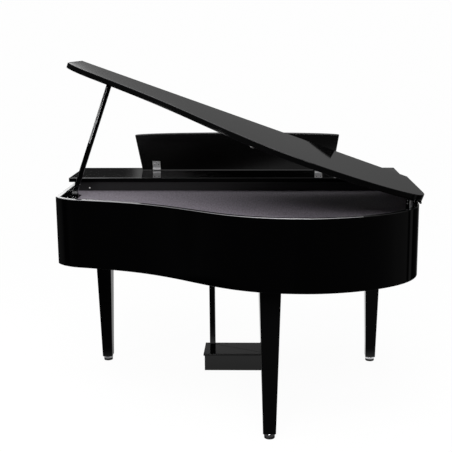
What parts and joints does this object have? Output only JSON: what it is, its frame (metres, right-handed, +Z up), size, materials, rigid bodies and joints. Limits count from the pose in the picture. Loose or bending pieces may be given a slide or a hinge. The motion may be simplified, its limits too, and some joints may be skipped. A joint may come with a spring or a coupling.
{
  "type": "digital grand piano",
  "caption": "Compact digital grand piano: gloss black curved case on tapered legs, lid propped open, folding music desk, sliding key cover and pedal lyre.",
  "frame": {"origin": "on the floor, under the middle of the piano's outline box with the lid open", "axes": "+X to the treble side, along the keyboard; +Y to the tail; +Z up. The player sits at -Y"},
  "size_m": [1.4635, 1.257, 1.4156],
  "materials": {
    "black_lacquer": "polished black polyester lacquer on fibreboard",
    "bare_board": "bare fibreboard",
    "speaker_board": "black-stained speaker box",
    "speckled_panel": "matt panel with fine grey speckle",
    "white_key": "ivory-white key plastic",
    "black_key": "satin black key plastic",
    "chrome": "polished chrome plate",
    "aluminium": "satin aluminium",
    "brass": "polished brass",
    "satin_black": "satin black plastic",
    "display_glass": "dark display window",
    "circuit_board": "green circuit board"
  },
  "bodies": {
    "root": {"rim": "black_lacquer", "inner_panel": "black_lacquer", "top_board": "black_lacquer", "treble_end_block": "black_lacquer", "bass_end_block": "black_lacquer", "key_slip": "black_lacquer", "front_fascia": "black_lacquer", "pedal_box": "black_lacquer", "pedal_box_top": "black_lacquer", "treble_lyre_post": "black_lacquer", "bass_lyre_post": "black_lacquer", "treble_leg": "black_lacquer", "bass_leg": "black_lacquer", "tail_leg": "black_lacquer", "bottom_board": "bare_board", "keybed": "bare_board", "treble_speaker": "speaker_board", "bass_speaker": "speaker_board", "soundboard_cover": "speckled_panel", "front_hinge_rim_leaf": "chrome", "tail_hinge_rim_leaf": "chrome", "prop_bracket": "chrome", "treble_foot": "chrome", "bass_foot": "chrome", "tail_foot": "chrome", "key_frame": "aluminium", "socket_box": "satin_black", "display": "display_glass", "main_board": "circuit_board"},
    "lid": {"lid": "black_lacquer", "front_hinge_lid_leaf": "chrome", "tail_hinge_lid_leaf": "chrome", "prop_cup": "satin_black"},
    "prop": {"prop_stick": "black_lacquer"},
    "desk": {"music_desk": "black_lacquer", "treble_desk_hinge": "aluminium", "bass_desk_hinge": "aluminium"},
    "key_cover": {"key_cover": "black_lacquer"},
    "lower_white_keys": {"lower_white_keys": "white_key"},
    "upper_white_keys": {"upper_white_keys": "white_key"},
    "lower_black_keys": {"lower_black_keys": "black_key"},
    "upper_black_keys": {"upper_black_keys": "black_key"},
    "key_c": {"key_c": "white_key"},
    "key_d": {"key_d": "white_key"},
    "key_e": {"key_e": "white_key"},
    "key_f": {"key_f": "white_key"},
    "key_g": {"key_g": "white_key"},
    "key_a": {"key_a": "white_key"},
    "key_b": {"key_b": "white_key"},
    "key_c_sharp": {"key_c_sharp": "black_key"},
    "key_d_sharp": {"key_d_sharp": "black_key"},
    "key_f_sharp": {"key_f_sharp": "black_key"},
    "key_g_sharp": {"key_g_sharp": "black_key"},
    "key_a_sharp": {"key_a_sharp": "black_key"},
    "soft_pedal": {"soft_pedal": "brass"},
    "sostenuto_pedal": {"sostenuto_pedal": "brass"},
    "damper_pedal": {"damper_pedal": "brass"},
    "volume_knob": {"volume_knob": "aluminium"},
    "power_button": {"power_button": "satin_black"},
    "mode_button": {"mode_button": "satin_black"}
  },
  "joints": [
    {"name": "lid_hinge", "type": "hinge", "parent": "root", "child": "lid", "pos_m": [-0.71911, 0.114, 0.8825], "axis": [0, -1, 0], "range_deg": [0, 40]},
    {"name": "prop_fold", "type": "hinge", "parent": "root", "child": "prop", "pos_m": [0.67509, 0.0265, 0.876], "axis": [0, -1, 0], "range_deg": [0, 70]},
    {"name": "desk_fold", "type": "hinge", "parent": "root", "child": "desk", "pos_m": [0.00709, -0.3585, 0.9208], "axis": [-1, 0, 0], "range_deg": [0, 68]},
    {"name": "key_cover_slide", "type": "slide", "parent": "root", "child": "key_cover", "axis": [0, -1, 0], "range_m": [0, 0.15]},
    {"name": "key_c_press", "type": "hinge", "parent": "root", "child": "key_c", "pos_m": [0.00709, -0.4159, 0.7354], "axis": [1, 0, 0], "range_deg": [0, 3], "stiffness_Nm_per_rad": 0.8, "springref_deg": -17.19},
    {"name": "key_d_press", "type": "hinge", "parent": "root", "child": "key_d", "pos_m": [0.00709, -0.4159, 0.7354], "axis": [1, 0, 0], "range_deg": [0, 3], "stiffness_Nm_per_rad": 0.8, "springref_deg": -17.19},
    {"name": "key_e_press", "type": "hinge", "parent": "root", "child": "key_e", "pos_m": [0.00709, -0.4159, 0.7354], "axis": [1, 0, 0], "range_deg": [0, 3], "stiffness_Nm_per_rad": 0.8, "springref_deg": -17.19},
    {"name": "key_f_press", "type": "hinge", "parent": "root", "child": "key_f", "pos_m": [0.00709, -0.4159, 0.7354], "axis": [1, 0, 0], "range_deg": [0, 3], "stiffness_Nm_per_rad": 0.8, "springref_deg": -17.19},
    {"name": "key_g_press", "type": "hinge", "parent": "root", "child": "key_g", "pos_m": [0.00709, -0.4159, 0.7354], "axis": [1, 0, 0], "range_deg": [0, 3], "stiffness_Nm_per_rad": 0.8, "springref_deg": -17.19},
    {"name": "key_a_press", "type": "hinge", "parent": "root", "child": "key_a", "pos_m": [0.00709, -0.4159, 0.7354], "axis": [1, 0, 0], "range_deg": [0, 3], "stiffness_Nm_per_rad": 0.8, "springref_deg": -17.19},
    {"name": "key_b_press", "type": "hinge", "parent": "root", "child": "key_b", "pos_m": [0.00709, -0.4159, 0.7354], "axis": [1, 0, 0], "range_deg": [0, 3], "stiffness_Nm_per_rad": 0.8, "springref_deg": -17.19},
    {"name": "key_c_sharp_press", "type": "hinge", "parent": "root", "child": "key_c_sharp", "pos_m": [0.00709, -0.4159, 0.7354], "axis": [1, 0, 0], "range_deg": [0, 3], "stiffness_Nm_per_rad": 0.4, "springref_deg": -17.19},
    {"name": "key_d_sharp_press", "type": "hinge", "parent": "root", "child": "key_d_sharp", "pos_m": [0.00709, -0.4159, 0.7354], "axis": [1, 0, 0], "range_deg": [0, 3], "stiffness_Nm_per_rad": 0.4, "springref_deg": -17.19},
    {"name": "key_f_sharp_press", "type": "hinge", "parent": "root", "child": "key_f_sharp", "pos_m": [0.00709, -0.4159, 0.7354], "axis": [1, 0, 0], "range_deg": [0, 3], "stiffness_Nm_per_rad": 0.4, "springref_deg": -17.19},
    {"name": "key_g_sharp_press", "type": "hinge", "parent": "root", "child": "key_g_sharp", "pos_m": [0.00709, -0.4159, 0.7354], "axis": [1, 0, 0], "range_deg": [0, 3], "stiffness_Nm_per_rad": 0.4, "springref_deg": -17.19},
    {"name": "key_a_sharp_press", "type": "hinge", "parent": "root", "child": "key_a_sharp", "pos_m": [0.00709, -0.4159, 0.7354], "axis": [1, 0, 0], "range_deg": [0, 3], "stiffness_Nm_per_rad": 0.4, "springref_deg": -17.19},
    {"name": "lower_white_keys_press", "type": "hinge", "parent": "root", "child": "lower_white_keys", "pos_m": [0.00709, -0.4159, 0.7354], "axis": [1, 0, 0], "range_deg": [0, 3], "stiffness_Nm_per_rad": 18, "springref_deg": -17.19},
    {"name": "upper_white_keys_press", "type": "hinge", "parent": "root", "child": "upper_white_keys", "pos_m": [0.00709, -0.4159, 0.7354], "axis": [1, 0, 0], "range_deg": [0, 3], "stiffness_Nm_per_rad": 18, "springref_deg": -17.19},
    {"name": "lower_black_keys_press", "type": "hinge", "parent": "root", "child": "lower_black_keys", "pos_m": [0.00709, -0.4159, 0.7354], "axis": [1, 0, 0], "range_deg": [0, 3], "stiffness_Nm_per_rad": 6, "springref_deg": -17.19},
    {"name": "upper_black_keys_press", "type": "hinge", "parent": "root", "child": "upper_black_keys", "pos_m": [0.00709, -0.4159, 0.7354], "axis": [1, 0, 0], "range_deg": [0, 3], "stiffness_Nm_per_rad": 6, "springref_deg": -17.19},
    {"name": "soft_pedal_press", "type": "hinge", "parent": "root", "child": "soft_pedal", "pos_m": [-0.05491, -0.2735, 0.041], "axis": [1, 0, 0], "range_deg": [0, 6], "stiffness_Nm_per_rad": 5, "springref_deg": -8.59},
    {"name": "sostenuto_pedal_press", "type": "hinge", "parent": "root", "child": "sostenuto_pedal", "pos_m": [0.00709, -0.2735, 0.041], "axis": [1, 0, 0], "range_deg": [0, 6], "stiffness_Nm_per_rad": 5, "springref_deg": -8.59},
    {"name": "damper_pedal_press", "type": "hinge", "parent": "root", "child": "damper_pedal", "pos_m": [0.06909, -0.2735, 0.041], "axis": [1, 0, 0], "range_deg": [0, 6], "stiffness_Nm_per_rad": 5, "springref_deg": -8.59},
    {"name": "volume_turn", "type": "hinge", "parent": "root", "child": "volume_knob", "pos_m": [-0.29291, -0.439, 0.8315], "axis": [0, -1, 0], "range_deg": [-150, 150]},
    {"name": "power_button_push", "type": "slide", "parent": "root", "child": "power_button", "axis": [0, 1, 0], "range_m": [0, 0.0015], "stiffness_N_per_m": 400, "springref_m": -0.002},
    {"name": "mode_button_push", "type": "slide", "parent": "root", "child": "mode_button", "axis": [0, 1, 0], "range_m": [0, 0.0015], "stiffness_N_per_m": 400, "springref_m": -0.002}
  ]
}
